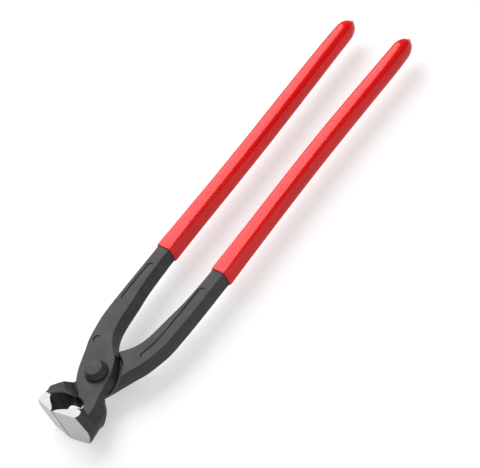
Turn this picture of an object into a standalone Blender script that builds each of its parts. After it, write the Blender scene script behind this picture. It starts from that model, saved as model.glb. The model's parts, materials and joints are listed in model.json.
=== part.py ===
"""Front cutting pliers: two crossed forged levers on one riveted lap joint.

The tool lies flat with its jaws towards -Y, its handles towards +Y and the rivet head up.
Lever outlines are written about the rivet, for the upper lever, whose handle is on the -X side.
The lower lever is the same forging turned half a turn about the tool's long axis.
"""
from math import acos, asin, cos, pi, radians, sin, sqrt

import bmesh
import bpy
from mathutils import Matrix, Vector

# Overall sizes, in metres
TOOL_LENGTH = 0.280
JAW_REACH = 0.0312
JAW_WIDTH = 0.0250
JAW_HALF_SPAN = 0.0175
STEEL_THICKNESS = 0.0090
HANDLE_HALF_SPREAD = 0.0196
MOUTH_FROM_RIVET = 0.0765
ARM_HALF_SPAN = 0.0231
HANDLE_LEAN = 0.0014

# Running gaps and cutter sizes
LAP_GAP = 0.0003
LAP_STEP = 0.00004
EDGE_GAP = 0.0006
SWING_GAP = 0.0004
CUT_OVERRUN = 0.0020
EDGE_ROUND = 0.0005

# Lap joint
BOSS_RADIUS = 0.0130
POCKET_FLARE = 0.0024
POCKET_TOP_FLARE = 0.0029
POCKET_DRIFT = (0.0014, -0.0010)
SWING_FLARE = 0.0006
SWING_TOP_FLARE = 0.0008
FACE_SKIM = 0.00002
OPENING_ANGLE = radians(28.0)
SWING_REACH = 0.0300
MOUTH_HALF_WIDTH = 0.0086
MOUTH_SPREAD = 0.0016
BEVEL_ANGLE = radians(9.8)

# Rivet
SHANK_DIAMETER = 0.0080
BORE_CLEARANCE = 0.00010
HEAD_DIAMETER = 0.0126
HEAD_TOP_DIAMETER = 0.0088
HEAD_HEIGHT = 0.0040
TAIL_DIAMETER = 0.0112
TAIL_HEIGHT = 0.0012
SEAT_GAP = 0.0003

# Stamped panels in the upper faces, left bare
PANEL_DEPTH = 0.0005
PANEL_WIDTH = 0.0046
ARM_PANEL_INSET = 0.0048
SHORT_PANEL_LENGTH = 0.0210
SHORT_PANEL_START = 0.0430
LONG_PANEL_LENGTH = 0.0440
LONG_PANEL_START = 0.0190
BOSS_PANEL_LENGTH = 0.0146
BOSS_PANEL_OFFSET = (-0.0091, 0.0135)
BOSS_PANEL_ANGLE = radians(-27.0)

# Dipped plastic grips
GRIP_WIDTH = 0.0101
GRIP_THICKNESS = 0.0109
GRIP_CORNER = 0.0025
GRIP_RIDGE = 0.0005
GRIP_CLEARANCE = 0.0003
TANG_WIDTH = 0.0070
TANG_THICKNESS = 0.0080
TANG_CORNER = 0.0016
TANG_TAPER_LENGTH = 0.0100
TANG_END_COVER = 0.0070
DOME_LENGTH = 0.0085
NUB_DIAMETER = 0.0027
NUB_LENGTH = 0.0007
LIP_LENGTH = 0.0008

# Counts
TURNED_SIDES = 48
ARC_STEPS = 10
JAW_RINGS = 26
NECK_RINGS = 22
ARM_RINGS = 16
TANG_RINGS = 12
GRIP_RINGS = 26
DOME_RINGS = 7

# Neck and jaw: distance from the rivet along Y as a share of JAW_REACH, then the left and right
# edges as shares of JAW_HALF_SPAN, the rise of the lapped and the free face from the steel's
# half thickness (0) to the jaw's half width (1), and how far the sides fall back at the faces,
# as shares of JAW_HALF_SPAN: the right one at the lapped and at the free face, then the left one.
JAW_STATION_SHARES = (
    (-1.080, 0.0, 0.710, 1.00, 1.00, 0.060, 0.13, 0.0),
    (-1.000, 0.0, 0.770, 1.00, 1.00, 0.065, 0.15, 0.0),
    (-0.940, 0.0, 0.851, 1.00, 1.00, 0.075, 0.22, 0.0),
    (-0.900, 0.0, 0.937, 1.00, 1.00, 0.085, 0.28, 0.0),
    (-0.860, 0.0, 0.985, 1.00, 1.00, 0.100, 0.325, 0.0),
    (-0.800, 0.0, 1.000, 1.00, 1.00, 0.131, 0.377, 0.0),
    (-0.756, 0.0, 1.000, 1.00, 0.98, 0.237, 0.385, 0.0),
    (-0.724, 0.0, 1.000, 1.00, 0.93, 0.442, 0.380, 0.0),
    (-0.686, 0.0, 0.989, 0.92, 0.80, 0.620, 0.31, 0.0),
    (-0.648, 0.0, 0.971, 0.70, 0.66, 0.504, 0.22, 0.0),
    (-0.609, 0.0, 0.954, 0.32, 0.53, 0.300, 0.13, 0.0),
    (-0.545, 0.0, 0.909, 0.00, 0.30, 0.180, 0.051, 0.0),
    (-0.465, -0.075, 0.857, 0.00, 0.10, 0.163, 0.02, 0.054),
    (-0.416, -0.183, 0.800, 0.00, 0.02, 0.131, 0.01, 0.075),
    (-0.385, -0.279, 0.762, 0.00, 0.00, 0.113, 0.01, 0.096),
    (-0.290, -0.526, 0.625, 0.00, 0.00, 0.020, 0.02, 0.140),
    (-0.192, -0.650, 0.635, 0.00, 0.00, 0.076, 0.08, 0.146),
    (-0.106, -0.715, 0.644, 0.00, 0.00, 0.123, 0.123, 0.118),
)

# Beside the rivet: distance from it, the outer and inner edges, and how far the inner and the
# outer side fall back at the faces, all as shares of BOSS_RADIUS.
BOSS_STATION_SHARES = (
    (0.000, -1.041, 0.833, 0.182, 0.116),
    (0.282, -1.146, 0.716, 0.187, 0.089),
    (0.694, -1.311, 0.435, 0.124, 0.060),
)

# Arm: distance from the rivet as a share of MOUTH_FROM_RIVET, the outer and inner edges as
# shares of ARM_HALF_SPAN, and how far the inner and the outer side fall back at the faces.
ARM_STATION_SHARES = (
    (0.165, -0.811, 0.094, 0.045, 0.028),
    (0.209, -0.862, -0.112, 0.034, 0.026),
    (0.288, -0.927, -0.326, 0.024, 0.024),
    (0.366, -0.978, -0.429, 0.018, 0.020),
    (0.471, -0.998, -0.489, 0.016, 0.018),
    (0.575, -1.003, -0.536, 0.014, 0.016),
    (0.680, -1.005, -0.591, 0.013, 0.014),
    (0.785, -1.004, -0.618, 0.013, 0.012),
    (0.890, -1.002, -0.636, 0.012, 0.012),
    (1.000, -1.000, -0.649, 0.010, 0.010),
)
# Both handles lean to the lower lever's side: place as a share of the handle, share of the lean
LEAN_SHARES = ((0.0, 0.0), (0.06, 0.62), (0.12, 0.95), (0.20, 1.0), (0.45, 0.62), (0.8, 0.0), (1.0, 0.0))

# Grip centre line: distance from the mouth as a share of the grip, and its place across the
# tool as a share of HANDLE_HALF_SPREAD.
GRIP_CENTRE_SHARES = (
    (0.00, 0.973), (0.15, 0.960), (0.30, 0.944), (0.45, 0.939),
    (0.60, 0.953), (0.75, 0.979), (0.90, 1.004), (1.00, 1.000),
)
# Grip section along its length: width and thickness, then corner and side ridge, as shares of
# their full sizes.
GRIP_GIRTH_SHARES = (
    (0.00, 0.960, 0.40), (0.08, 0.970, 0.62), (0.30, 0.990, 0.90),
    (0.60, 1.000, 1.05), (0.90, 0.985, 1.30), (1.00, 0.960, 1.45),
)
# How far in front of the rivet the other lever's neck is cleared, as a share of JAW_REACH
NECK_CUT_SHARE = 0.545
# Jaw mouth, seen from above: across as shares of its half width, along as shares of JAW_REACH.
# The rear runs along the front of the boss, which stands further forward on the lower lever.
MOUTH_OUTLINE_SHARES = (
    (0.93, -0.680), (1.00, -0.735), (0.985, -0.775), (0.87, -0.822), (0.68, -0.862), (0.45, -0.898),
    (0.20, -0.945),
)
UPPER_REAR_SHARES = (
    (-2.30, -0.510), (-0.06, -0.510), (0.40, -0.520), (0.55, -0.537), (0.69, -0.564), (0.80, -0.620),
)
LOWER_REAR_SHARES = (
    (-2.30, -0.570), (-0.06, -0.570), (0.40, -0.576), (0.55, -0.584), (0.69, -0.603), (0.80, -0.640),
)
# The slanted end of the lapped face, at its foot and at its rim, in shares of JAW_HALF_SPAN and
# JAW_REACH.
FACE_FOOT_SHARES = ((-0.21, -0.575), (0.419, -0.624), (0.563, -0.679), (0.749, -0.704), (1.30, -0.74))
FACE_RIM_SHARES = ((-0.21, -0.720), (0.582, -0.765), (0.700, -0.772), (0.851, -0.785), (1.30, -0.83))
# Rivet profiles: across from the tail's axis to its rim, and from the head's flat top (0) to its
# rim (1), each with the height as a share of the tail's or the head's.
TAIL_PROFILE_SHARES = ((0.80, 1.0), (0.94, 0.75), (1.0, 0.35))
HEAD_PROFILE_SHARES = ((1.0, 0.22), (0.92, 0.34), (0.12, 0.93), (0.0, 1.0))
NUB_TAPER_SHARE = 0.80
SIDE_SHARES = (-1.0, -0.7, -0.35, 0.0, 0.35, 0.7, 1.0)
SIDE_BULGE_SHARE = 2
CORNER_ANGLES = (radians(30.0), radians(60.0))

HALF_STEEL = STEEL_THICKNESS / 2
HALF_JAW = JAW_WIDTH / 2
NECK_REACH = JAW_REACH * NECK_CUT_SHARE
HANDLE_REACH = TOOL_LENGTH - JAW_REACH
GRIP_LENGTH = HANDLE_REACH - MOUTH_FROM_RIVET


def steel_material(name, colour, roughness):
    """A dark phosphated or bare steel finish."""
    material = bpy.data.materials.new(name)
    material.use_nodes = True
    shader = material.node_tree.nodes["Principled BSDF"]
    shader.inputs["Base Color"].default_value = colour
    shader.inputs["Metallic"].default_value = 0.6
    shader.inputs["Roughness"].default_value = roughness
    return material


def plastic_material(name, colour):
    """The glossy finish of a dipped plastic grip."""
    material = bpy.data.materials.new(name)
    material.use_nodes = True
    shader = material.node_tree.nodes["Principled BSDF"]
    shader.inputs["Base Color"].default_value = colour
    shader.inputs["Roughness"].default_value = 0.3
    return material


def clear_scene():
    """Remove what a new file holds."""
    for item in list(bpy.data.objects):
        bpy.data.objects.remove(item, do_unlink=True)


def slopes(places, values):
    """Slopes at the points of a smooth curve that never overshoots them."""
    pairs = list(zip(places, values))
    steps = [(b[1] - a[1]) / (b[0] - a[0]) for a, b in zip(pairs, pairs[1:])]
    inner = [0.0 if a * b <= 0 else 2 * a * b / (a + b) for a, b in zip(steps, steps[1:])]
    return [steps[0]] + inner + [steps[-1]]


def curve_value(places, values, at):
    """Read a smooth curve through (place, value) points."""
    at = min(max(at, places[0]), places[-1])
    index = max(i for i in range(len(places) - 1) if places[i] <= at)
    width = places[index + 1] - places[index]
    t = (at - places[index]) / width
    tangent = slopes(places, values)
    start = (2 * t**3 - 3 * t**2 + 1) * values[index] + (t**3 - 2 * t**2 + t) * width * tangent[index]
    end = (3 * t**2 - 2 * t**3) * values[index + 1] + (t**3 - t**2) * width * tangent[index + 1]
    return start + end


def share_curve(table, column, at):
    """Read one column of a table of shares at a share along it."""
    return curve_value([row[0] for row in table], [row[column] for row in table], at)


def spread_evenly(start, end, count):
    """Evenly spaced places from start up to, but not including, end."""
    return [start + (end - start) * i / count for i in range(count)]


def handle_lean(along, side):
    """How far a lever's handle is moved across, in that lever's own frame."""
    return side * HANDLE_LEAN * share_curve(LEAN_SHARES, 1, along / HANDLE_REACH)


def grip_centre(along, side):
    """Where the handle's centre line lies across the tool, in the lever's own frame."""
    share = (along - MOUTH_FROM_RIVET) / GRIP_LENGTH
    return handle_lean(along, side) - HANDLE_HALF_SPREAD * share_curve(GRIP_CENTRE_SHARES, 1, share)


def lever_stations():
    """Every driving section of the forging: place, edges, face heights and side falls."""
    stations = []
    rise = HALF_JAW - HALF_STEEL
    for along, left, right, lap, free, lap_fall, free_fall, left_fall in JAW_STATION_SHARES:
        edge = left * JAW_HALF_SPAN if left < 0 else EDGE_GAP / 2
        falls = [fall * JAW_HALF_SPAN for fall in (left_fall, left_fall, lap_fall, free_fall)]
        stations.append((along * JAW_REACH, edge, right * JAW_HALF_SPAN, HALF_STEEL + lap * rise,
                         HALF_STEEL + free * rise, *falls))
    for table, length, span in ((BOSS_STATION_SHARES, BOSS_RADIUS, BOSS_RADIUS),
                                (ARM_STATION_SHARES, MOUTH_FROM_RIVET, ARM_HALF_SPAN)):
        for along, outer, inner, inner_fall, outer_fall in table:
            falls = [fall * span for fall in (outer_fall, outer_fall, inner_fall, inner_fall)]
            stations.append((along * length, outer * span, inner * span, HALF_STEEL, HALF_STEEL, *falls))
    return stations


STATIONS = lever_stations()
PLACE, LEFT, RIGHT = range(3)
STATION_PLACES = [station[PLACE] for station in STATIONS]


def lever_value(column, along, side):
    """Read one column of the forging's sections at a distance from the rivet."""
    value = curve_value(STATION_PLACES, [station[column] for station in STATIONS], along)
    if column in (LEFT, RIGHT):
        value += handle_lean(along, side)
    return value


def section_ring(along, left, right, top, bottom, falls, corner, bulge=1):
    """One closed ring from its right side over the top face, with a ridge halfway up each side."""
    ring = []
    middle = (top - bottom) / 2
    reach = (top + bottom) / 2
    for edge, lap_fall, free_fall, turn in ((right, *falls[2:], 1), (left, *falls[:2], -1)):
        side = []
        for share in SIDE_SHARES:
            fall, power = (lap_fall, 1) if share > 0 else (free_fall, bulge)
            rise = share * (reach - corner)
            side.append((edge - turn * fall * abs(rise / reach)**power, middle + rise))
        lead_in = []
        lead_out = []
        for angle in CORNER_ANGLES:
            inset = turn * corner * (1 - cos(angle))
            lead_out.append((side[-1][0] - inset, side[-1][1] + corner * sin(angle)))
            lead_in.insert(0, (side[0][0] - inset, side[0][1] - corner * sin(angle)))
        lead_out.append((side[-1][0] - turn * corner, side[-1][1] + corner))
        lead_in.insert(0, (side[0][0] - turn * corner, side[0][1] - corner))
        half = lead_in + side + lead_out
        ring += half if turn > 0 else half[::-1]
    return [Vector((x, along, z)) for x, z in ring]


def lever_ring(along, side):
    """The forging's section at a distance from the rivet, up to the grip's mouth."""
    values = [lever_value(column, along, side) for column in range(LEFT, len(STATIONS[0]))]
    left, right, lap, free, *falls = values
    return section_ring(along, left, right, lap, free, falls, EDGE_ROUND, SIDE_BULGE_SHARE)


def tang_size(along):
    """Width, thickness and corner of the steel inside the grip."""
    share = min((along - MOUTH_FROM_RIVET) / TANG_TAPER_LENGTH, 1.0)
    arm_width = STATIONS[-1][RIGHT] - STATIONS[-1][LEFT]
    width = arm_width + (TANG_WIDTH - arm_width) * share
    thickness = STEEL_THICKNESS + (TANG_THICKNESS - STEEL_THICKNESS) * share
    corner = EDGE_ROUND + (TANG_CORNER - EDGE_ROUND) * share
    return width, thickness, corner


def tang_ring(along, side, growth=0.0):
    """The steel's section inside the grip, grown by a clearance where the grip fits over it."""
    width, thickness, corner = tang_size(along)
    centre = grip_centre(along, side)
    half_width = width / 2 + growth
    half_thickness = thickness / 2 + growth
    return section_ring(along, centre - half_width, centre + half_width, half_thickness,
                        half_thickness, [0.0] * 4, corner + growth)


def tang_places():
    """Places along the steel inside the grip, from the mouth to the tang's end."""
    taper_end = MOUTH_FROM_RIVET + TANG_TAPER_LENGTH
    tang_end = HANDLE_REACH - TANG_END_COVER
    return [MOUTH_FROM_RIVET] + spread_evenly(taper_end, tang_end, TANG_RINGS) + [tang_end]


def mesh_from_rings(name, rings, first_pole=None, last_pole=None):
    """Skin closed rings in order, with a pole point or a flat cap at each end."""
    bm = bmesh.new()
    loops = [[bm.verts.new(point) for point in ring] for ring in rings]
    for low, high in zip(loops, loops[1:]):
        for i in range(len(low)):
            j = (i + 1) % len(low)
            bm.faces.new((low[i], low[j], high[j], high[i]))
    for loop, pole in ((loops[0], first_pole), (loops[-1], last_pole)):
        if pole is None:
            bm.faces.new(loop)
            continue
        tip = bm.verts.new(pole)
        for i in range(len(loop)):
            bm.faces.new((loop[i], loop[(i + 1) % len(loop)], tip))
    bmesh.ops.recalc_face_normals(bm, faces=bm.faces)
    mesh = bpy.data.meshes.new(name)
    bm.to_mesh(mesh)
    bm.free()
    return mesh


def upright(outline, z):
    """A plan outline as a ring at one height."""
    return [Vector((x, y, z)) for x, y in outline]


def drifted(outline, z):
    """A flared pocket's outline at one height, moved towards the outer side of the neck."""
    return [point + Vector((*POCKET_DRIFT, 0)) for point in upright(outline, z)]


def prism_mesh(name, outline, low, high):
    """An upright prism on a plan outline."""
    return mesh_from_rings(name, [upright(outline, low), upright(outline, high)])


def circle_outline(radius, sides=TURNED_SIDES):
    """Points round a circle about the rivet."""
    return [(radius * cos(2 * pi * i / sides), radius * sin(2 * pi * i / sides)) for i in range(sides)]


def place(mesh, name, parent, material, side=1):
    """Put a mesh on a parent, turned half a turn about the long axis for the lower lever."""
    if side < 0:
        mesh.transform(Matrix.Rotation(pi, 4, "Y"))
    item = bpy.data.objects.new(name, mesh)
    bpy.context.collection.objects.link(item)
    item.parent = parent
    if material:
        mesh.materials.append(material)
    mesh.shade_smooth()
    mesh.set_sharp_from_angle(angle=radians(30.0))
    return item


def split_walls(mesh):
    """Split a cutter's faces into triangles, which stay flat where a wall twists."""
    bm = bmesh.new()
    bm.from_mesh(mesh)
    bmesh.ops.triangulate(bm, faces=bm.faces)
    bm.to_mesh(mesh)
    bm.free()


def cut(item, mesh, side):
    """Cut a hidden guide shape out of an object with an exact boolean."""
    split_walls(mesh)
    cutter = place(mesh, item.name + "_" + mesh.name, item.parent, None, side)
    cutter.hide_render = True
    cutter.display_type = "WIRE"
    boolean = item.modifiers.new(mesh.name, "BOOLEAN")
    boolean.operation = "DIFFERENCE"
    boolean.solver = "EXACT"
    boolean.object = cutter


def turned_back(point, angle):
    """Turn a plan point clockwise about the rivet."""
    x, y = point
    return (x * cos(angle) + y * sin(angle), y * cos(angle) - x * sin(angle))


def other_lever_edge(column, places, gap, side):
    """Plan points along one edge of the other lever, moved across by a gap."""
    return [(gap - lever_value(column, along, -side), along) for along in places]


def arm_swing_outline(side, flare):
    """The ground that the other lever's arm sweeps, from closed to fully open."""
    gap = SWING_GAP + flare
    places = spread_evenly(0.0, SWING_REACH, ARC_STEPS)
    inner = other_lever_edge(RIGHT, places, -gap, side)
    outer = other_lever_edge(LEFT, places, gap, side)
    swept = [turned_back(point, OPENING_ANGLE) for point in outer]
    far = max(sqrt(x * x + y * y) for x, y in swept)
    between = [(far * cos(a), far * sin(a)) for a in sweep_angles(inner[-1], swept[-1])]
    return inner + between + swept[::-1]


def sweep_angles(first, last):
    """Angles between two plan points about the rivet, without the end points."""
    start = asin(first[1] / sqrt(first[0]**2 + first[1]**2))
    end = asin(last[1] / sqrt(last[0]**2 + last[1]**2))
    return spread_evenly(start, end, ARC_STEPS)[1:]


def neck_swing_outline(side):
    """The ground that the other lever's neck sweeps in front of the rivet."""
    places = spread_evenly(0.0, -NECK_REACH, ARC_STEPS)
    cavity = other_lever_edge(LEFT, places, SWING_GAP, side)
    outer = other_lever_edge(RIGHT, places, -SWING_GAP, side)
    swept = [turned_back(point, OPENING_ANGLE) for point in outer]
    front = [(cavity[-1][0], -NECK_REACH), (outer[-1][0], -NECK_REACH)]
    return cavity + front + swept[::-1]


def mouth_outline(half_width, side):
    """The jaw mouth's plan at one height, with the boss front that closes it behind."""
    rear = UPPER_REAR_SHARES if side > 0 else LOWER_REAR_SHARES
    inner = [(x * half_width, y * JAW_REACH) for x, y in rear + MOUTH_OUTLINE_SHARES]
    front = -JAW_REACH - CUT_OVERRUN
    outside = [(EDGE_GAP / 2, -JAW_REACH), (EDGE_GAP / 2, front), (-JAW_HALF_SPAN, front),
               (-JAW_HALF_SPAN, inner[0][1])]
    return inner + outside


def front_bevel_outline():
    """Everything in front of the ground bevel that ends at the cutting edge."""
    run = JAW_HALF_SPAN + CUT_OVERRUN
    rise = run * sin(BEVEL_ANGLE) / cos(BEVEL_ANGLE)
    front = -JAW_REACH - JAW_HALF_SPAN
    return [(-CUT_OVERRUN, -JAW_REACH), (EDGE_GAP / 2, -JAW_REACH), (run, -JAW_REACH + rise),
            (run, front), (-CUT_OVERRUN, front)]


def face_end_outline(table):
    """Plan of what is cleared above the lapped face, behind the jaw's end at one height."""
    front = [(x * JAW_HALF_SPAN, y * JAW_REACH) for x, y in table]
    return front + [(front[-1][0], 0.0), (front[0][0], 0.0)]


def oblong_outline(path, width):
    """A band of even width along a plan path, with round ends."""
    points = [Vector(point) for point in path]
    left = []
    right = []
    for i, point in enumerate(points):
        ahead = points[min(i + 1, len(points) - 1)] - points[max(i - 1, 0)]
        side = Vector((-ahead.y, ahead.x)).normalized() * width / 2
        left.append(point + side)
        right.append(point - side)
    return ([*right] + half_round(points[-1], right[-1]) + left[::-1]
            + half_round(points[0], left[0]))


def half_round(centre, start):
    """Points of a half turn about a centre, counter-clockwise from a start point."""
    arm = start - centre
    turns = [pi * i / ARC_STEPS for i in range(1, ARC_STEPS)]
    return [centre + Matrix.Rotation(angle, 2) @ arm for angle in turns]


def arm_panel_path(start, length, side):
    """The middle line of a panel that follows the arm's outer edge."""
    places = [start + length * i / ARC_STEPS for i in range(ARC_STEPS + 1)]
    return [(lever_value(LEFT, along, side) + ARM_PANEL_INSET, along) for along in places]


def boss_panel_path():
    """The middle line of the slanted panel above the rivet head."""
    x, y = BOSS_PANEL_OFFSET
    reach = (BOSS_PANEL_LENGTH - PANEL_WIDTH) / 2
    step = (reach * cos(BOSS_PANEL_ANGLE), reach * sin(BOSS_PANEL_ANGLE))
    return [(x - step[0], y - step[1]), (x + step[0], y + step[1])]


def cut_panel(item, path, name, side):
    """Sink one shallow panel into the tool's upper face."""
    low, high = sorted((side * (HALF_STEEL - PANEL_DEPTH), side * (HALF_STEEL + CUT_OVERRUN)))
    cut(item, prism_mesh(name, oblong_outline(path, PANEL_WIDTH), low, high), side)


def lever_places():
    """Places of the forging's rings from beyond the cutting edge up to the grip's mouth."""
    neck = JAW_REACH * JAW_STATION_SHARES[12][0]
    crotch = MOUTH_FROM_RIVET * ARM_STATION_SHARES[3][0]
    places = spread_evenly(STATION_PLACES[0], neck, JAW_RINGS)
    places += spread_evenly(neck, crotch, NECK_RINGS)
    return places + spread_evenly(crotch, MOUTH_FROM_RIVET, ARM_RINGS)


def build_lever(name, parent, material, side):
    """One forged lever: jaw, neck, boss, arm and the tang inside its grip."""
    rings = [lever_ring(along, side) for along in lever_places()]
    rings += [tang_ring(along, side) for along in tang_places()]
    lever = place(mesh_from_rings(name, rings), name, parent, material, side)
    cut_jaw(lever, side)
    cut_lap(lever, side)
    return lever


def cut_jaw(lever, side):
    """Open the jaw mouth, grind the front bevel and clear the lapped face."""
    reach = HALF_JAW + CUT_OVERRUN
    mouth = [upright(mouth_outline(MOUTH_HALF_WIDTH - MOUTH_SPREAD, side), -reach),
             upright(mouth_outline(MOUTH_HALF_WIDTH + MOUTH_SPREAD, side), reach)]
    cut(lever, mesh_from_rings("mouth_cut", mouth), side)
    cut(lever, prism_mesh("bevel_cut", front_bevel_outline(), -reach, reach), side)
    face = [upright(face_end_outline(FACE_FOOT_SHARES), HALF_STEEL + FACE_SKIM),
            upright(face_end_outline(FACE_RIM_SHARES), HALF_JAW),
            upright(face_end_outline(FACE_RIM_SHARES), reach)]
    cut(lever, mesh_from_rings("face_cut", face), side)


def cut_lap(lever, side):
    """Clear the other lever's half of the lap joint and bore the rivet hole."""
    low = -HALF_JAW - CUT_OVERRUN
    high = LAP_GAP / 2
    radius = BOSS_RADIUS + SWING_GAP
    pocket = [upright(circle_outline(radius), high),
              drifted(circle_outline(radius + POCKET_FLARE), -HALF_STEEL - LAP_STEP),
              drifted(circle_outline(radius + POCKET_TOP_FLARE), low)]
    cut(lever, mesh_from_rings("pocket_cut", pocket), side)
    mid = -HALF_STEEL - 2 * LAP_STEP
    walls = ((0.0, high + LAP_STEP), (SWING_FLARE, mid), (SWING_TOP_FLARE, low))
    swing = [upright(arm_swing_outline(side, flare), z) for flare, z in walls]
    cut(lever, mesh_from_rings("arm_swing_cut", swing), side)
    cut(lever, prism_mesh("neck_swing_cut", neck_swing_outline(side), low, high + 2 * LAP_STEP), side)
    bore = circle_outline(SHANK_DIAMETER / 2 + BORE_CLEARANCE)
    cut(lever, prism_mesh("rivet_bore_cut", bore, low, -low), side)


def grip_ring(along, side, shrink=1.0):
    """The grip's outer section at a distance from the rivet."""
    share = (along - MOUTH_FROM_RIVET) / GRIP_LENGTH
    girth = share_curve(GRIP_GIRTH_SHARES, 1, share) * shrink
    edges = share_curve(GRIP_GIRTH_SHARES, 2, share) * shrink
    half_width = GRIP_WIDTH / 2 * girth
    half_thickness = GRIP_THICKNESS / 2 * girth
    centre = grip_centre(along, side)
    return section_ring(along, centre - half_width, centre + half_width, half_thickness,
                        half_thickness, [GRIP_RIDGE * edges] * 4, GRIP_CORNER * edges)


def build_grip(name, parent, material, side):
    """A dipped sleeve: open at its mouth, closed and domed at its tip, with a small drip."""
    dome_start = HANDLE_REACH - NUB_LENGTH - DOME_LENGTH
    rings = [tang_ring(along, side, GRIP_CLEARANCE) for along in tang_places()]
    rings[-1] = [point + Vector((0, GRIP_CLEARANCE, 0)) for point in rings[-1]]
    rings.reverse()
    rings.append(grip_ring(MOUTH_FROM_RIVET, side, 1 - LIP_LENGTH / GRIP_WIDTH / 2))
    outside = [MOUTH_FROM_RIVET + LIP_LENGTH / 2]
    outside += spread_evenly(MOUTH_FROM_RIVET + LIP_LENGTH, dome_start, GRIP_RINGS)
    rings += [grip_ring(along, side) for along in outside]
    nub_share = NUB_DIAMETER / GRIP_WIDTH
    for i in range(DOME_RINGS):
        turn = i / DOME_RINGS * acos(nub_share)
        rings.append(grip_ring(dome_start + DOME_LENGTH * sin(turn), side, cos(turn)))
    base = dome_start + DOME_LENGTH * sin(acos(nub_share))
    rings.append(grip_ring(base, side, nub_share))
    rings.append(grip_ring(HANDLE_REACH - NUB_LENGTH / 2, side, nub_share * NUB_TAPER_SHARE))
    tip = Vector((grip_centre(HANDLE_REACH, side), HANDLE_REACH, 0))
    return place(mesh_from_rings(name, rings, None, tip), name, parent, material, side)


def build_rivet(name, parent, material):
    """The joint rivet: a coned head above, a shank through both laps and a peened tail below."""
    seat = HALF_STEEL + SEAT_GAP
    head = HEAD_DIAMETER / 2
    head_top = HEAD_TOP_DIAMETER / 2
    tail = TAIL_DIAMETER / 2
    shank = SHANK_DIAMETER / 2
    profile = [(tail * across, -seat - TAIL_HEIGHT * up) for across, up in TAIL_PROFILE_SHARES]
    profile += [(tail, -seat), (shank, -seat), (shank, seat), (head, seat)]
    profile += [(head_top + (head - head_top) * across, seat + HEAD_HEIGHT * up)
                for across, up in HEAD_PROFILE_SHARES]
    rings = [upright(circle_outline(radius), z) for radius, z in profile]
    return place(mesh_from_rings(name, rings), name, parent, material)


def pivot_empty(name, parent=None):
    """An empty on the joint's axis."""
    empty = bpy.data.objects.new(name, None)
    bpy.context.collection.objects.link(empty)
    if parent:
        empty.parent = parent
    return empty


def build_tool():
    """Build both levers, their grips and the rivet about the joint's axis."""
    clear_scene()
    forged = steel_material("forged_steel", (0.105, 0.105, 0.108, 1.0), 0.55)
    riveted = steel_material("rivet_steel", (0.12, 0.12, 0.123, 1.0), 0.5)
    red = plastic_material("red_grip_plastic", (0.60, 0.003, 0.006, 1.0))
    tool = pivot_empty("tool_frame")
    tool.location = (0, JAW_REACH - TOOL_LENGTH / 2, HALF_JAW)
    moving = pivot_empty("joint_axis", tool)
    upper = build_lever("top_lever", tool, forged, 1)
    cut_panel(upper, arm_panel_path(SHORT_PANEL_START, SHORT_PANEL_LENGTH, 1), "short_panel_cut", 1)
    cut_panel(upper, boss_panel_path(), "boss_panel_cut", 1)
    lower = build_lever("bottom_lever", moving, forged, -1)
    cut_panel(lower, arm_panel_path(LONG_PANEL_START, LONG_PANEL_LENGTH, -1), "long_panel_cut", -1)
    build_rivet("joint_rivet", tool, riveted)
    build_grip("left_grip", tool, red, 1)
    build_grip("right_grip", moving, red, -1)


build_tool()
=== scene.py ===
"""Looks of a pair of front cutting pliers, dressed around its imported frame.

The tool lies flat on a pale floor. Each forged lever is softened as a die leaves it and then
ground flat at its jaw, the rivet is turned afresh, and each dipped grip is rounded off.
"""
from __future__ import annotations

import json
import logging
import math
from dataclasses import dataclass, field
from enum import Enum

import bpy
from mathutils import Matrix, Vector

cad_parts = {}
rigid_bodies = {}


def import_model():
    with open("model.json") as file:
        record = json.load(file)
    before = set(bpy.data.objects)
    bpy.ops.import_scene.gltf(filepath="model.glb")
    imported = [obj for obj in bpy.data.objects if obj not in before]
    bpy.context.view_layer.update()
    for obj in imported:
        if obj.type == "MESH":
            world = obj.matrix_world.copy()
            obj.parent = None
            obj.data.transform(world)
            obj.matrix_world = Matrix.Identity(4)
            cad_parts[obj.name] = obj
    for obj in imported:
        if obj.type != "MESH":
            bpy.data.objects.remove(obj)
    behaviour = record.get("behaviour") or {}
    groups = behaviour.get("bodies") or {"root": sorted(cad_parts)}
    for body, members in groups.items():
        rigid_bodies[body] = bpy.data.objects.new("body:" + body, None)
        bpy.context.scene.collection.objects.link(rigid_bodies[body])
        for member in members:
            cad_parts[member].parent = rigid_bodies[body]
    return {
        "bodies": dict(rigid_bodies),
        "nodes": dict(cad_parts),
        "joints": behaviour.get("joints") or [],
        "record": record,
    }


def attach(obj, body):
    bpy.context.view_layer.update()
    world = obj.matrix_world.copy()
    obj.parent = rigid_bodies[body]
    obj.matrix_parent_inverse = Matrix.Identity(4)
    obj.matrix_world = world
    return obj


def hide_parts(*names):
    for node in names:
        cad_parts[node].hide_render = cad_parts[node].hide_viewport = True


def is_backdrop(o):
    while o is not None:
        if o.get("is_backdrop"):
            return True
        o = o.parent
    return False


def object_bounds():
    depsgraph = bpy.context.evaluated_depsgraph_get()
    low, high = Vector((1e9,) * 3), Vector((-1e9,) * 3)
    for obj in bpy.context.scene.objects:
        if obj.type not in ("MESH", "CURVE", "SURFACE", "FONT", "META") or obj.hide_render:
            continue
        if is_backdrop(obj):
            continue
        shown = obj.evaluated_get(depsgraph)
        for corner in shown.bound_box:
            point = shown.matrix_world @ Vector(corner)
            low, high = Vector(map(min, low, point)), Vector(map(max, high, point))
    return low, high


LOG = logging.getLogger("pliers")
MM = 0.001

Colour = tuple[float, float, float, float]
Point = tuple[float, float, float]
Span = tuple[float, float]

WHOLE: Span = (0.0, 1.0)
# Where most values of a fractal noise lie
NOISE_SPAN: Span = (0.3, 0.7)
# How nearly a face's normal agrees with a plane's when the face counts as lying in it
FLAT = 0.995
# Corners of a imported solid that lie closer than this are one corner
MERGE_DISTANCE = 0.002 * MM
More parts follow.
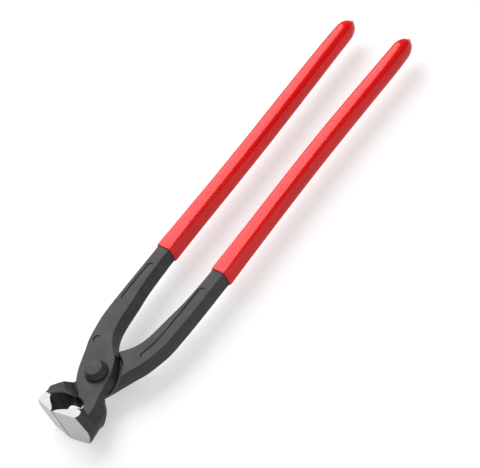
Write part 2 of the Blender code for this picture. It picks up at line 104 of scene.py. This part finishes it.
# Where the rivet's axis meets the middle of the lap joint, in millimetres
PIVOT: Point = (0.0, -108.8, 12.5)


class Body(Enum):
    """The two halves that turn on the rivet."""

    UPPER = "upper"
    LOWER = "lower"


class Slot(Enum):
    """Finishes as the record names them."""

    FORGED = "forged_steel"
    RIVET = "rivet_steel"
    PLASTIC = "red_grip_plastic"


# Node helpers


@dataclass(frozen=True)
class Grain:
    """A fractal noise: cells to the metre, octaves, and how strong the fine octaves are."""

    scale: float
    detail: float
    roughness: float


@dataclass(frozen=True)
class Relief:
    """A bump: how much of it shows, and its real depth in metres."""

    strength: float
    depth: float


class NodeSheet:
    """A material's node tree, with short ways to add and join what a finish needs."""

    # The mix node's colour sockets, which share their names with its other kinds
    MIX_FIRST = 6
    MIX_SECOND = 7
    MIX_RESULT = 2

    def __init__(self, name: str) -> None:
        """Start a new material with one shader.

        Args:
            name: The material's name.
        """
        self.material = bpy.data.materials.new(name)
        self.material.use_nodes = True
        self.nodes = self.material.node_tree.nodes
        self.links = self.material.node_tree.links
        self.shader = self.nodes["Principled BSDF"]
        self.place = self.nodes.new("ShaderNodeTexCoord").outputs["Object"]

    def join(self, out: bpy.types.NodeSocket, into: bpy.types.NodeSocket) -> None:
        """Link an output to an input."""
        self.links.new(out, into)

    def feed(self, value: bpy.types.NodeSocket | float | Colour, into: bpy.types.NodeSocket) -> None:
        """Link a socket to an input, or set the input to a fixed value."""
        if isinstance(value, bpy.types.NodeSocket):
            self.join(value, into)
        else:
            into.default_value = value

    def set_gloss(self, metallic: float, specular: float) -> None:
        """Set how metallic and how glossy the shader is."""
        self.shader.inputs["Metallic"].default_value = metallic
        self.shader.inputs["Specular IOR Level"].default_value = specular

    def stretch(self, scale: Point, turn: Point = (0.0, 0.0, 0.0)) -> bpy.types.NodeSocket:
        """Read the piece's own coordinates, turned and stretched.

        Args:
            scale: Scale along each axis.
            turn: Rotation about each axis, in radians.

        Returns:
            The stretched coordinates.
        """
        mapping = self.nodes.new("ShaderNodeMapping")
        mapping.inputs["Scale"].default_value = scale
        mapping.inputs["Rotation"].default_value = turn
        self.join(self.place, mapping.inputs["Vector"])
        return mapping.outputs["Vector"]

    def noise(self, grain: Grain, vector: bpy.types.NodeSocket | None = None) -> bpy.types.NodeSocket:
        """Fractal noise in real sizes.

        Args:
            grain: Its scale, octaves and roughness.
            vector: Coordinates, or None for the piece's own.

        Returns:
            The noise value.
        """
        node = self.nodes.new("ShaderNodeTexNoise")
        node.inputs["Scale"].default_value = grain.scale
        node.inputs["Detail"].default_value = grain.detail
        node.inputs["Roughness"].default_value = grain.roughness
        self.join(vector or self.place, node.inputs["Vector"])
        return node.outputs["Fac"]

    def spots(self, scale: float) -> bpy.types.NodeSocket:
        """Distance to the nearest of many scattered points, for pits.

        Args:
            scale: Points to the metre.

        Returns:
            The distance.
        """
        node = self.nodes.new("ShaderNodeTexVoronoi")
        node.inputs["Scale"].default_value = scale
        self.join(self.place, node.inputs["Vector"])
        return node.outputs["Distance"]

    def remap(self, value: bpy.types.NodeSocket, old: Span, new: Span = WHOLE) -> bpy.types.NodeSocket:
        """Map one range to another, clamped.

        Args:
            value: What to map.
            old: Start and end of the old range.
            new: Start and end of the new range.

        Returns:
            The mapped value.
        """
        node = self.nodes.new("ShaderNodeMapRange")
        for key, number in zip(("From Min", "From Max", "To Min", "To Max"), (*old, *new)):
            node.inputs[key].default_value = number
        self.join(value, node.inputs["Value"])
        return node.outputs["Result"]

    def reckon(self, operation: str, *values: bpy.types.NodeSocket | float) -> bpy.types.NodeSocket:
        """Work out one value from others.

        Args:
            operation: The sum's kind, as the math node names it.
            *values: Sockets or numbers, in order.

        Returns:
            The result.
        """
        node = self.nodes.new("ShaderNodeMath")
        node.operation = operation
        for value, into in zip(values, node.inputs):
            self.feed(value, into)
        return node.outputs["Value"]

    def blend(self, share: bpy.types.NodeSocket, first: Colour | bpy.types.NodeSocket,
              second: Colour) -> bpy.types.NodeSocket:
        """Mix two colours by a share.

        Args:
            share: 0 for the first colour, 1 for the second.
            first: A colour or a colour socket.
            second: A colour.

        Returns:
            The mixed colour.
        """
        node = self.nodes.new("ShaderNodeMix")
        node.data_type = "RGBA"
        self.join(share, node.inputs["Factor"])
        self.feed(first, node.inputs[self.MIX_FIRST])
        self.feed(second, node.inputs[self.MIX_SECOND])
        return node.outputs[self.MIX_RESULT]

    def bump(self, height: bpy.types.NodeSocket, relief: Relief,
             under: bpy.types.NodeSocket | None = None) -> bpy.types.NodeSocket:
        """Turn a height into a surface normal.

        Args:
            height: The height, from 0 to 1.
            relief: How much of it shows and how deep it is.
            under: A normal that this one is laid over.

        Returns:
            The bumped normal.
        """
        node = self.nodes.new("ShaderNodeBump")
        node.inputs["Strength"].default_value = relief.strength
        node.inputs["Distance"].default_value = relief.depth
        self.join(height, node.inputs["Height"])
        if under:
            self.join(under, node.inputs["Normal"])
        return node.outputs["Normal"]

    def from_level(self, height: float) -> bpy.types.NodeSocket:
        """How far a point is above or below a level.

        Args:
            height: The level's height.

        Returns:
            The distance, never less than zero.
        """
        parts = self.nodes.new("ShaderNodeSeparateXYZ")
        self.join(self.place, parts.inputs["Vector"])
        return self.reckon("ABSOLUTE", self.reckon("SUBTRACT", parts.outputs["Z"], height))

    def edges(self) -> bpy.types.NodeSocket:
        """How far a point stands out along an edge."""
        return self.nodes.new("ShaderNodeNewGeometry").outputs["Pointiness"]


# Finishes


@dataclass(frozen=True)
class PhosphatedSteel:
    """Dark grey phosphate on forged steel, a little paler where it has rubbed."""

    name: str = "phosphated steel"
    dark: Colour = (0.036, 0.036, 0.038, 1.0)
    pale: Colour = (0.052, 0.052, 0.054, 1.0)
    rubbed: Colour = (0.085, 0.085, 0.087, 1.0)
    metallic: float = 0.10
    specular: float = 0.25
    roughness: Span = (0.44, 0.60)
    mottle: Grain = Grain(160.0, 6.0, 0.62)
    mottle_span: Span = (0.38, 0.64)
    rub_span: Span = (0.42, 0.58)
    edge_span: Span = (0.59, 0.70)
    grain: Grain = Grain(2600.0, 3.0, 0.6)
    grain_relief: Relief = Relief(0.15, 0.00003)
    swell: Grain = Grain(420.0, 3.0, 0.45)
    swell_relief: Relief = Relief(0.18, 0.00012)
    pits: float = 1400.0
    pit_span: Span = (0.05, 0.30)
    pit_relief: Relief = Relief(0.06, 0.00003)

    def make(self) -> bpy.types.Material:
        """Build the material.

        Returns:
            The material.
        """
        sheet = NodeSheet(self.name)
        cloud = sheet.noise(self.mottle)
        fine = sheet.noise(self.grain)
        colour = sheet.blend(sheet.remap(cloud, self.mottle_span), self.dark, self.pale)
        standing = sheet.remap(sheet.edges(), self.edge_span)
        worn = sheet.reckon("MULTIPLY", standing, sheet.remap(cloud, self.rub_span))
        sheet.join(sheet.blend(worn, colour, self.rubbed), sheet.shader.inputs["Base Color"])
        sheet.join(sheet.remap(fine, NOISE_SPAN, self.roughness), sheet.shader.inputs["Roughness"])
        skin = sheet.bump(sheet.noise(self.swell), self.swell_relief)
        skin = sheet.bump(sheet.remap(sheet.spots(self.pits), self.pit_span), self.pit_relief, skin)
        sheet.join(sheet.bump(fine, self.grain_relief, skin), sheet.shader.inputs["Normal"])
        sheet.set_gloss(self.metallic, self.specular)
        return sheet.material


@dataclass(frozen=True)
class GroundSteel:
    """Bare steel as a grinding wheel leaves it, with fine lines one way."""

    name: str = "ground steel"
    bright: Colour = (0.66, 0.66, 0.655, 1.0)
    dull: Colour = (0.54, 0.54, 0.54, 1.0)
    metallic: float = 0.05
    specular: float = 0.25
    roughness: Span = (0.30, 0.46)
    lines: Grain = Grain(5200.0, 3.0, 0.7)
    line_stretch: Point = (1.0, 0.5, 0.04)
    line_turn: Point = (0.12, 0.0, 0.35)
    line_relief: Relief = Relief(0.25, 0.00003)
    cloud: Grain = Grain(240.0, 4.0, 0.5)
    cloud_span: Span = (0.3, 0.65)
    cloud_share: Span = (0.5, 1.0)

    def make(self) -> bpy.types.Material:
        """Build the material.

        Returns:
            The material.
        """
        sheet = NodeSheet(self.name)
        lines = sheet.noise(self.lines, sheet.stretch(self.line_stretch, self.line_turn))
        cloud = sheet.remap(sheet.noise(self.cloud), self.cloud_span, self.cloud_share)
        share = sheet.reckon("MULTIPLY", sheet.remap(lines, NOISE_SPAN), cloud)
        sheet.join(sheet.blend(share, self.bright, self.dull), sheet.shader.inputs["Base Color"])
        sheet.join(sheet.remap(lines, NOISE_SPAN, self.roughness), sheet.shader.inputs["Roughness"])
        sheet.join(sheet.bump(lines, self.line_relief), sheet.shader.inputs["Normal"])
        sheet.set_gloss(self.metallic, self.specular)
        return sheet.material


@dataclass(frozen=True)
class DippedPlastic:
    """Glossy red plastic, dipped and cured: even in colour, with a faint flow in its skin and a fine
    groove at mid-height, darkened with painted shade.
    """

    name: str = "dipped red plastic"
    red: Colour = (0.86, 0.001, 0.002, 1.0)
    deep: Colour = (0.74, 0.0, 0.001, 1.0)
    # Painted shade: the darker red laid along the mid-height groove
    seam_shade: Colour = (0.22, 0.0, 0.002, 1.0)
    ior: float = 1.54
    specular: float = 0.25
    roughness: Span = (0.14, 0.20)
    flow: Grain = Grain(90.0, 3.0, 0.5)
    flow_stretch: Point = (1.0, 0.18, 1.0)
    flow_span: Span = (0.35, 0.68)
    flow_relief: Relief = Relief(0.015, 0.0004)
    dust: Grain = Grain(900.0, 4.0, 0.6)
    dust_span: Span = (0.35, 0.75)
    dust_relief: Relief = Relief(0.02, 0.00003)
    seam_height: float = 12.5 * MM
    seam_width: float = 0.28 * MM
    # How far the groove's colour goes towards that painted shade
    seam_shade_share: float = 0.75
    seam_relief: Relief = Relief(0.5, -0.00012)

    def make(self) -> bpy.types.Material:
        """Build the material.

        Returns:
            The material.
        """
        sheet = NodeSheet(self.name)
        flow = sheet.noise(self.flow, sheet.stretch(self.flow_stretch))
        dust = sheet.noise(self.dust)
        # A band at mid-height: a real groove through the bump below, and painted shade through the
        # darker colour
        seam_groove_and_shade = sheet.remap(sheet.from_level(self.seam_height), (0.0, self.seam_width), (1.0, 0.0))
        colour = sheet.blend(sheet.remap(flow, self.flow_span), self.red, self.deep)
        colour = sheet.blend(sheet.reckon("MULTIPLY", seam_groove_and_shade, self.seam_shade_share), colour, self.seam_shade)
        sheet.join(colour, sheet.shader.inputs["Base Color"])
        sheet.join(sheet.remap(dust, self.dust_span, self.roughness), sheet.shader.inputs["Roughness"])
        skin = sheet.bump(flow, self.flow_relief)
        skin = sheet.bump(dust, self.dust_relief, skin)
        sheet.join(sheet.bump(seam_groove_and_shade, self.seam_relief, skin), sheet.shader.inputs["Normal"])
        sheet.shader.inputs["IOR"].default_value = self.ior
        sheet.set_gloss(0.0, self.specular)
        return sheet.material


@dataclass(frozen=True)
class PaleFloor:
    """A matt pale sheet that shows as white, and in gloss too, but for the tool's shadow."""

    name: str = "pale floor"
    paper: Colour = (0.55, 0.55, 0.55, 1.0)
    roughness: float = 0.9
    lift: float = 0.50

    def make(self) -> bpy.types.Material:
        """Build the material.

        Returns:
            The material.
        """
        sheet = NodeSheet(self.name)
        rays = sheet.nodes.new("ShaderNodeLightPath").outputs
        seen = sheet.reckon("MAXIMUM", rays["Is Camera Ray"], rays["Is Glossy Ray"])
        seen = sheet.reckon("MAXIMUM", seen, rays["Is Transmission Ray"])
        sheet.shader.inputs["Base Color"].default_value = self.paper
        sheet.shader.inputs["Roughness"].default_value = self.roughness
        sheet.set_gloss(0.0, 0.0)
        glow = sheet.nodes.new("ShaderNodeEmission")
        sheet.join(sheet.reckon("MULTIPLY", seen, self.lift), glow.inputs["Strength"])
        both = sheet.nodes.new("ShaderNodeAddShader")
        sheet.join(sheet.shader.outputs["BSDF"], both.inputs[0])
        sheet.join(glow.outputs["Emission"], both.inputs[1])
        sheet.join(both.outputs["Shader"], sheet.nodes["Material Output"].inputs["Surface"])
        return sheet.material


# Modelling helpers


def select_only(piece: bpy.types.Object) -> None:
    """Deselect everything, then select one piece and make it active."""
    bpy.ops.object.select_all(action="DESELECT")
    piece.select_set(True)
    bpy.context.view_layer.objects.active = piece


def edit(piece: bpy.types.Object, pick: str = "SELECT") -> None:
    """Go into edit mode on one piece with all or nothing selected."""
    select_only(piece)
    bpy.ops.object.mode_set(mode="EDIT")
    bpy.ops.mesh.select_mode(type="FACE")
    bpy.ops.mesh.select_all(action=pick)


def leave_edit() -> None:
    """Go back to object mode."""
    bpy.ops.object.mode_set(mode="OBJECT")


def copy_solid(node: bpy.types.Object, name: str) -> bpy.types.Object:
    """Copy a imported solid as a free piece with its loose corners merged.

    Args:
        node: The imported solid, which stays as it is.
        name: The new piece's name.

    Returns:
        The new piece.
    """
    select_only(node)
    bpy.ops.object.duplicate()
    piece = bpy.context.view_layer.objects.active
    piece.name = name
    piece.parent = None
    for key in list(piece.keys()):
        del piece[key]
    piece.data.materials.clear()
    edit(piece)
    bpy.ops.mesh.remove_doubles(threshold=MERGE_DISTANCE)
    bpy.ops.mesh.customdata_custom_splitnormals_clear()
    leave_edit()
    return piece


def apply_modifier(piece: bpy.types.Object, kind: str, **settings: object) -> None:
    """Add a modifier, set it and apply it.

    Args:
        piece: The piece.
        kind: The modifier's type.
        **settings: Its settings by name.
    """
    modifier = piece.modifiers.new(kind.title(), kind)
    for key, value in settings.items():
        setattr(modifier, key, value)
    select_only(piece)
    bpy.ops.object.modifier_apply(modifier=modifier.name)


def cut_away(piece: bpy.types.Object, tool: bpy.types.Object) -> None:
    """Cut a tool's shape out of a piece, then remove the tool."""
    apply_modifier(piece, "BOOLEAN", operation="DIFFERENCE", solver="EXACT", object=tool)
    bpy.data.objects.remove(tool)


def smooth_by_angle(piece: bpy.types.Object, angle: float) -> None:
    """Shade a piece smooth but for edges sharper than an angle."""
    select_only(piece)
    bpy.ops.object.shade_smooth_by_angle(angle=angle)


# Sub-assemblies


@dataclass
class Lever:
    """One forging: softened all over, stamped, and ground at the jaw's front and two end faces."""

    node: str
    body: Body
    turned: bool
    name: str
    pivot: Vector = field(default_factory=lambda: Vector(PIVOT) * MM)
    jaw_reach: float = 31.2 * MM
    half_gap: float = 0.30 * MM
    half_jaw: float = 12.5 * MM
    bevel_angle: float = math.radians(9.8)
    stock: float = 1.6 * MM
    block: float = 80.0 * MM
    voxel: float = 0.36 * MM
    relax: int = 3
    relax_share: float = 0.5
    panel_floor: float = 4.0 * MM
    panel_depth: float = 0.5 * MM
    punch_height: float = 3.0 * MM
    flat_angle: float = math.radians(1.0)
    plane_slack: float = 0.05 * MM
    tang_start: float = -32.3 * MM
    sharp_angle: float = math.radians(38.0)
    piece: bpy.types.Object | None = None
    punch: bpy.types.Object | None = None

    def side(self) -> float:
        """Which side of the tool's middle the jaw is on."""
        return -1.0 if self.turned else 1.0

    def ground_planes(self) -> list[tuple[Vector, Vector]]:
        """Where the wheel has been.

        Returns:
            Outward normal and a point of each ground plane.
        """
        side = self.side()
        front = Vector((side * math.sin(self.bevel_angle), -math.cos(self.bevel_angle), 0.0))
        edge = self.pivot + Vector((side * self.half_gap, -self.jaw_reach, 0.0))
        top = self.pivot + Vector((0.0, 0.0, self.half_jaw))
        bottom = self.pivot - Vector((0.0, 0.0, self.half_jaw))
        return [(front, edge), (Vector((0.0, 0.0, 1.0)), top), (Vector((0.0, 0.0, -1.0)), bottom)]

    def panel_plane(self) -> tuple[Vector, Vector]:
        """Normal and a point of the plane that the sunk panels' floors lie in."""
        return Vector((0.0, 0.0, 1.0)), self.pivot + Vector((0.0, 0.0, self.panel_floor))

    def build(self, frame: dict) -> None:
        """Copy the solid, leave stock on it, soften it, and stamp and grind it again.
        """
        self.piece = copy_solid(frame["nodes"][self.node], self.name)
        self.take_punch(frame)
        self.leave_stock()
        self.forge()
        self.stamp()
        self.grind()

    def pick_plane(self, piece: bpy.types.Object, normal: Vector, point: Vector) -> int:
        """Select only the faces that lie in a plane, in front of the tang.

        Args:
            piece: The piece, in object mode.
            normal: The plane's normal.
            point: A point in the plane.

        Returns:
            How many faces are selected.
        """
        edit(piece, "DESELECT")
        leave_edit()
        count = 0
        for face in piece.data.polygons:
            flat = face.normal.dot(normal) > FLAT and face.center.y < self.tang_start
            face.select = flat and abs((face.center - point).dot(normal)) < self.plane_slack
            count += face.select
        return count

    def take_punch(self, frame: dict) -> None:
        """Lift the floors of the sunk panels off the solid as the punch that stamps them again.
        """
        self.punch = copy_solid(frame["nodes"][self.node], self.name + "_punch")
        self.pick_plane(self.punch, *self.panel_plane())
        bpy.ops.object.mode_set(mode="EDIT")
        bpy.ops.mesh.select_all(action="INVERT")
        bpy.ops.mesh.delete(type="FACE")
        bpy.ops.mesh.select_all(action="SELECT")
        bpy.ops.mesh.dissolve_limited(angle_limit=self.flat_angle)
        rise = (0.0, 0.0, self.punch_height)
        bpy.ops.mesh.extrude_region_move(TRANSFORM_OT_translate={"value": rise})
        bpy.ops.mesh.select_all(action="SELECT")
        bpy.ops.mesh.normals_make_consistent(inside=False)
        leave_edit()

    def leave_stock(self) -> None:
        """Extrude the ground faces and the panels' floors outwards, so that softening spares them."""
        grown = [(normal, point, self.stock) for normal, point in self.ground_planes()]
        for normal, point, height in [*grown, (*self.panel_plane(), self.panel_depth)]:
            picked = self.pick_plane(self.piece, normal, point)
            LOG.info("%s: %d faces grown by %.1f mm", self.name, picked, height / MM)
            bpy.ops.object.mode_set(mode="EDIT")
            bpy.ops.mesh.extrude_region_move(TRANSFORM_OT_translate={"value": normal * height})
            leave_edit()

    def forge(self) -> None:
        """Round every corner a little, as a die and shot blasting do."""
        apply_modifier(self.piece, "REMESH", mode="VOXEL", voxel_size=self.voxel)
        apply_modifier(self.piece, "SMOOTH", factor=self.relax_share, iterations=self.relax)

    def stamp(self) -> None:
        """Stamp the panels with the punch, crisp again after the softening."""
        cut_away(self.piece, self.punch)

    def grind(self) -> None:
        """Grind the stock back to its planes and leave flat faces in a second finish."""
        finishes = [PhosphatedSteel().make(), GroundSteel().make()]
        for finish in finishes:
            self.piece.data.materials.append(finish)
        for normal, point in self.ground_planes():
            cut_away(self.piece, self.wheel(normal, point, finishes))
        ground = sum(face.material_index for face in self.piece.data.polygons)
        LOG.info("%s: %d ground faces", self.name, ground)

    def wheel(self, normal: Vector, point: Vector,
              finishes: list[bpy.types.Material]) -> bpy.types.Object:
        """Make the block that a grinding wheel clears in front of a plane.

        Args:
            normal: The plane's outward normal.
            point: A point of the plane.
            finishes: The forging's finishes, the ground one last.

        Returns:
            The block.
        """
        bpy.ops.object.select_all(action="DESELECT")
        middle = point + normal * self.block / 2
        turn = normal.to_track_quat("Z", "Y").to_euler()
        bpy.ops.mesh.primitive_cube_add(size=self.block, location=middle, rotation=turn)
        wheel = bpy.context.view_layer.objects.active
        bpy.ops.object.transform_apply(location=True, rotation=True, scale=True)
        for finish in finishes:
            wheel.data.materials.append(finish)
        for face in wheel.data.polygons:
            face.material_index = len(finishes) - 1
        return wheel

    def dress(self) -> None:
        """Shade the lever and hand it to the frame."""
        smooth_by_angle(self.piece, self.sharp_angle)
        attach(self.piece, self.body.value)
        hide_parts(self.node)


@dataclass
class Rivet:
    """The joint rivet: a coned head with a flat top, a shank and a peened tail."""

    node: str = "joint_rivet"
    name: str = "joint_rivet_turned"
    centre: Vector = field(default_factory=lambda: Vector(PIVOT) * MM)
    seat: float = 4.8 * MM
    tail_height: float = 1.2 * MM
    tail_radius: float = 5.6 * MM
    tail_face_share: float = 0.82
    tail_side_share: float = 0.45
    shank_radius: float = 4.0 * MM
    head_radius: float = 6.3 * MM
    rim_height: float = 0.9 * MM
    top_radius: float = 4.4 * MM
    head_height: float = 4.0 * MM
    sides: int = 96
    edge_round: float = 0.30 * MM
    edge_steps: int = 3
    edge_angle: float = math.radians(25.0)
    sharp_angle: float = math.radians(40.0)
    metallic: float = 0.15
    piece: bpy.types.Object | None = None

    def steps(self) -> list[tuple[float, float]]:
        """Heights and radii of the turned profile, from the tail up.

        Returns:
            Height above the joint's middle and radius of each step.
        """
        seat = self.seat
        return [
            (-seat - self.tail_side_share * self.tail_height, self.tail_radius),
            (-seat, self.tail_radius),
            (-seat, self.shank_radius),
            (seat, self.shank_radius),
            (seat, self.head_radius),
            (seat + self.rim_height, self.head_radius),
            (seat + self.head_height, self.top_radius),
        ]

    def build(self) -> None:
        """Extrude a round blank step by step, then ease its edges."""
        bpy.ops.object.select_all(action="DESELECT")
        low = -self.seat - self.tail_height
        radius = self.tail_face_share * self.tail_radius
        bpy.ops.mesh.primitive_circle_add(vertices=self.sides, radius=radius, fill_type="NGON",
                                          location=self.centre + Vector((0.0, 0.0, low)))
        self.piece = bpy.context.view_layer.objects.active
        self.piece.name = self.name
        bpy.ops.object.transform_apply(location=True, rotation=True, scale=True)
        edit(self.piece)
        for high, wide in self.steps():
            bpy.ops.mesh.extrude_region_move(TRANSFORM_OT_translate={"value": (0.0, 0.0, high - low)})
            bpy.ops.transform.resize(value=(wide / radius, wide / radius, 1.0),
                                     center_override=self.centre + Vector((0.0, 0.0, high)))
            low, radius = high, wide
        bpy.ops.mesh.select_all(action="SELECT")
        bpy.ops.mesh.normals_make_consistent(inside=False)
        leave_edit()
        apply_modifier(self.piece, "BEVEL", width=self.edge_round, segments=self.edge_steps,
                       limit_method="ANGLE", angle_limit=self.edge_angle)

    def dress(self) -> None:
        """Give the rivet its finish and hand it to the frame."""
        finish = PhosphatedSteel(name="phosphated rivet", metallic=self.metallic)
        self.piece.data.materials.append(finish.make())
        smooth_by_angle(self.piece, self.sharp_angle)
        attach(self.piece, Body.UPPER.value)
        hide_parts(self.node)


@dataclass
class Grip:
    """A dipped sleeve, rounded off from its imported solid."""

    node: str
    body: Body
    name: str
    pair_face_angle: float = math.radians(60.0)
    pair_shape_angle: float = math.radians(80.0)
    levels: int = 2
    sharp_angle: float = math.radians(60.0)
    piece: bpy.types.Object | None = None

    def build(self, frame: dict) -> None:
        """Copy the sleeve, pair its triangles and round it.
        """
        self.piece = copy_solid(frame["nodes"][self.node], self.name)
        edit(self.piece)
        bpy.ops.mesh.tris_convert_to_quads(face_threshold=self.pair_face_angle,
                                           shape_threshold=self.pair_shape_angle)
        leave_edit()
        apply_modifier(self.piece, "SUBSURF", levels=self.levels, render_levels=self.levels)

    def dress(self) -> None:
        """Give the grip its finish and hand it to the frame."""
        self.piece.data.materials.append(DippedPlastic().make())
        smooth_by_angle(self.piece, self.sharp_angle)
        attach(self.piece, self.body.value)
        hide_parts(self.node)


# Studio


@dataclass(frozen=True)
class Lamp:
    """A square soft lamp. A radiance of 1 is white paper in full light."""

    name: str
    place: Point
    size: float
    radiance: float

    def hang(self) -> None:
        """Hang the lamp and turn it to the middle of the tool."""
        data = bpy.data.lights.new(self.name, "AREA")
        data.shape = "SQUARE"
        data.size = self.size
        data.energy = self.radiance * math.pi * self.size * self.size
        lamp = bpy.data.objects.new(self.name, data)
        bpy.context.scene.collection.objects.link(lamp)
        lamp.location = self.place
        lamp.rotation_mode = "QUATERNION"
        lamp.rotation_quaternion = (-Vector(self.place)).to_track_quat("-Z", "Y")


@dataclass
class Studio:
    """The camera, the pale floor and the soft light."""

    lens: float = 150.0
    sensor: float = 36.0
    clip: Span = (0.01, 100.0)
    eye: Vector = field(default_factory=lambda: Vector((619.481, -365.167, 755.823)) * MM)
    right: Vector = field(default_factory=lambda: Vector((0.742372, 0.587317, -0.322401)))
    down: Vector = field(default_factory=lambda: Vector((0.312988, -0.729479, -0.608193)))
    ahead: Vector = field(default_factory=lambda: Vector((-0.592388, 0.350597, -0.725368)))
    floor_size: float = 30.0
    surround: float = 0.32
    lamps: tuple[Lamp, ...] = (
        Lamp("soft box", (-0.80, 0.33, 0.96), 1.15, 4.6),
        Lamp("side fill", (1.30, 0.10, 0.55), 0.9, 1.6),
        Lamp("front fill", (0.35, -1.35, 0.40), 0.9, 1.6),
    )

    def place_camera(self) -> None:
        """Put the camera where the photograph was taken from."""
        data = bpy.data.cameras.new("camera")
        data.lens = self.lens
        data.sensor_width = self.sensor
        data.clip_start, data.clip_end = self.clip
        camera = bpy.data.objects.new("camera", data)
        bpy.context.scene.collection.objects.link(camera)
        turn = Matrix((self.right, -self.down, -self.ahead)).transposed()
        camera.matrix_world = Matrix.Translation(self.eye) @ turn.to_4x4()
        bpy.context.scene.camera = camera

    def lay_floor(self, height: float) -> None:
        """Lay the floor under the tool.

        Args:
            height: The tool's lowest point.
        """
        bpy.ops.object.select_all(action="DESELECT")
        bpy.ops.mesh.primitive_plane_add(size=self.floor_size, location=(0.0, 0.0, height))
        floor = bpy.context.view_layer.objects.active
        floor.name = "floor"
        floor.data.materials.append(PaleFloor().make())
        floor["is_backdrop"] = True

    def light(self) -> None:
        """A large soft box over the tool, weak fills from the right and the front, and a surround."""
        for lamp in self.lamps:
            lamp.hang()
        world = bpy.data.worlds.new("surround")
        world.use_nodes = True
        background = world.node_tree.nodes["Background"]
        background.inputs["Color"].default_value = (1.0, 1.0, 1.0, 1.0)
        background.inputs["Strength"].default_value = self.surround
        bpy.context.scene.world = world
        bpy.context.scene.view_settings.view_transform = "Standard"


def main() -> None:
    """Build every piece in order, dress it and report it."""
    logging.basicConfig(level=logging.INFO, format="%(name)s: %(message)s")
    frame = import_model()
    solid_box = [list(corner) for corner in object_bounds()]
    studio = Studio()
    studio.place_camera()
    studio.lay_floor(solid_box[0][2])
    studio.light()
    levers = [
        Lever("top_lever", Body.UPPER, False, "top_lever_forged"),
        Lever("bottom_lever", Body.LOWER, True, "bottom_lever_forged"),
    ]
    grips = [
        Grip("left_grip", Body.UPPER, "left_grip_dipped"),
        Grip("right_grip", Body.LOWER, "right_grip_dipped"),
    ]
    rivet = Rivet()
    for part in (*levers, *grips):
        part.build(frame)
        part.dress()
        LOG.info("%s: %d faces", part.name, len(part.piece.data.polygons))
    rivet.build()
    rivet.dress()
    LOG.info("%s: %d faces", rivet.name, len(rivet.piece.data.polygons))


if __name__ == "__main__":
    main()
